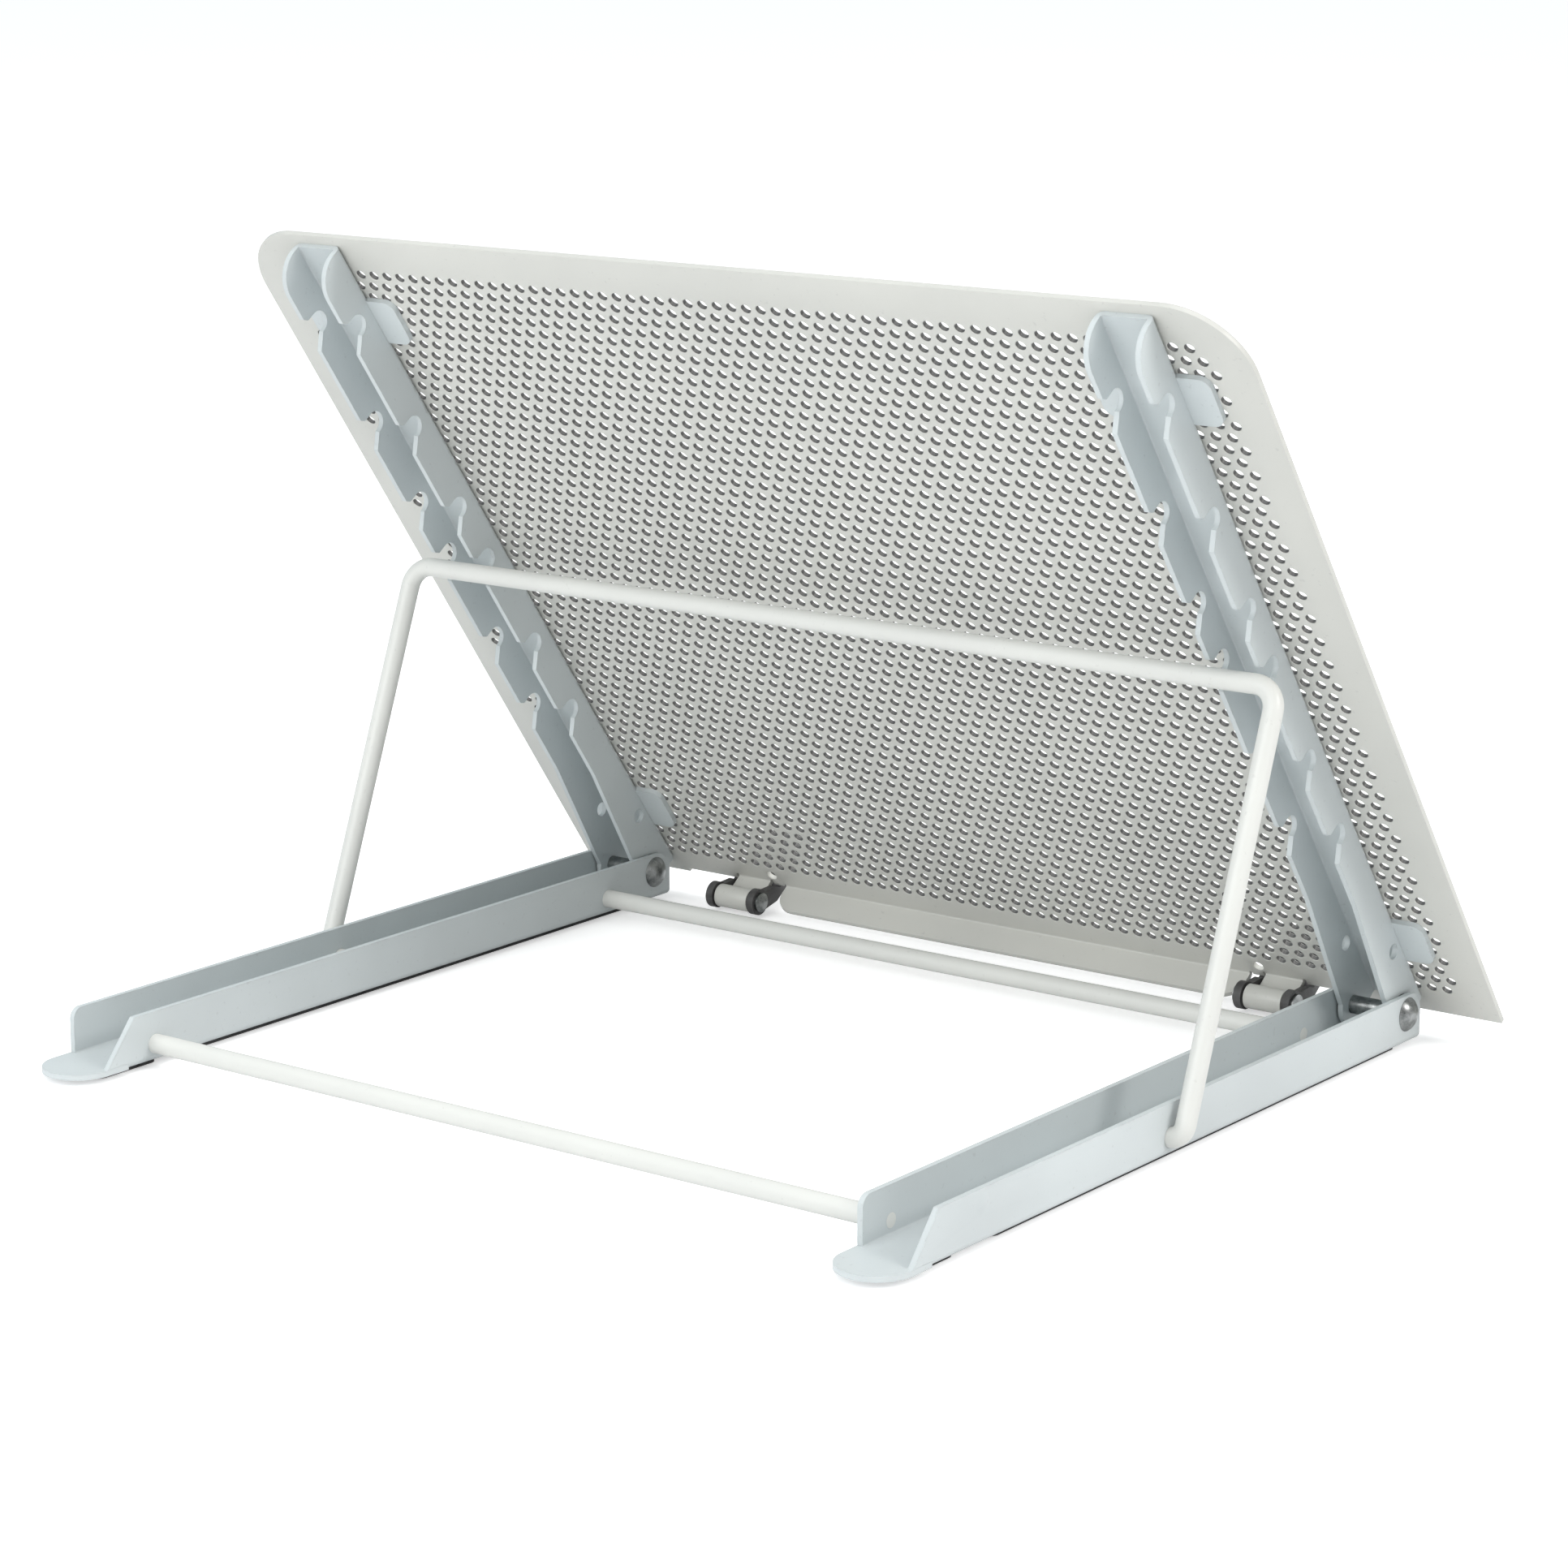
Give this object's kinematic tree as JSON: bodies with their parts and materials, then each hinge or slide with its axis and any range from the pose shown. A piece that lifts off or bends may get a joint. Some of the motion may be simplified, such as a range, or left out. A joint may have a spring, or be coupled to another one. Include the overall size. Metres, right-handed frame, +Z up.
{
  "type": "folding laptop stand",
  "caption": "Folding perforated steel stand for a laptop or tablet: a tilting plate on channel rails, a wire bail that props it at notched angles, and a flat folding base.",
  "frame": {"origin": "centre of the set-up stand's bounding box, on the desk", "axes": "+X to the user's right along the hinge axis, +Y to the rear along the base rails, +Z up"},
  "size_m": [0.251, 0.2178, 0.1687],
  "materials": {
    "plate_paint": "warm light grey powder coat, fine orange peel",
    "rail_paint": "cool light grey powder coat, satin",
    "wire_paint": "off-white powder coat on drawn wire",
    "rivet_steel": "bright domed steel",
    "washer_nylon": "black nylon",
    "stop_plastic": "dark grey moulded plastic, light grain",
    "pad_rubber": "black rubber, matt"
  },
  "bodies": {
    "plate": {"perforated_plate": "plate_paint", "upper_rail_left": "rail_paint", "upper_rail_right": "rail_paint"},
    "base": {"base_rail_left": "rail_paint", "base_rail_right": "rail_paint", "front_cross_rod": "wire_paint", "rear_cross_rod": "wire_paint", "hinge_rivet_left": "rivet_steel", "hinge_rivet_right": "rivet_steel", "hinge_washers": "washer_nylon", "rail_pad_left": "pad_rubber", "rail_pad_right": "pad_rubber", "tongue_pad_left": "pad_rubber", "tongue_pad_right": "pad_rubber"},
    "bail": {"support_bail": "wire_paint"},
    "stop_left": {"stop_hook_left": "stop_plastic", "stop_pad_left": "pad_rubber", "stop_pin_left": "rivet_steel"},
    "stop_right": {"stop_hook_right": "stop_plastic", "stop_pad_right": "pad_rubber", "stop_pin_right": "rivet_steel"}
  },
  "joints": [
    {"name": "plate_tilt", "type": "hinge", "parent": "base", "child": "plate", "pos_m": [0, -0.0811, 0.0078], "axis": [1, 0, 0], "range_deg": [-54, 7]},
    {"name": "bail_swing", "type": "hinge", "parent": "base", "child": "bail", "pos_m": [0, 0.0139, 0.005], "axis": [1, 0, 0], "range_deg": [-110.97, 14.56]},
    {"name": "stop_fold_left", "type": "hinge", "parent": "plate", "child": "stop_left", "pos_m": [-0.073, -0.08582, 0.00369], "axis": [1, 0, 0], "range_deg": [0, 90]},
    {"name": "stop_fold_right", "type": "hinge", "parent": "plate", "child": "stop_right", "pos_m": [0.073, -0.08582, 0.00369], "axis": [1, 0, 0], "range_deg": [0, 90]}
  ],
  "couplings": [
    {"joint": "bail_swing", "follows": "plate_tilt", "ratio": 2.0513}
  ]
}
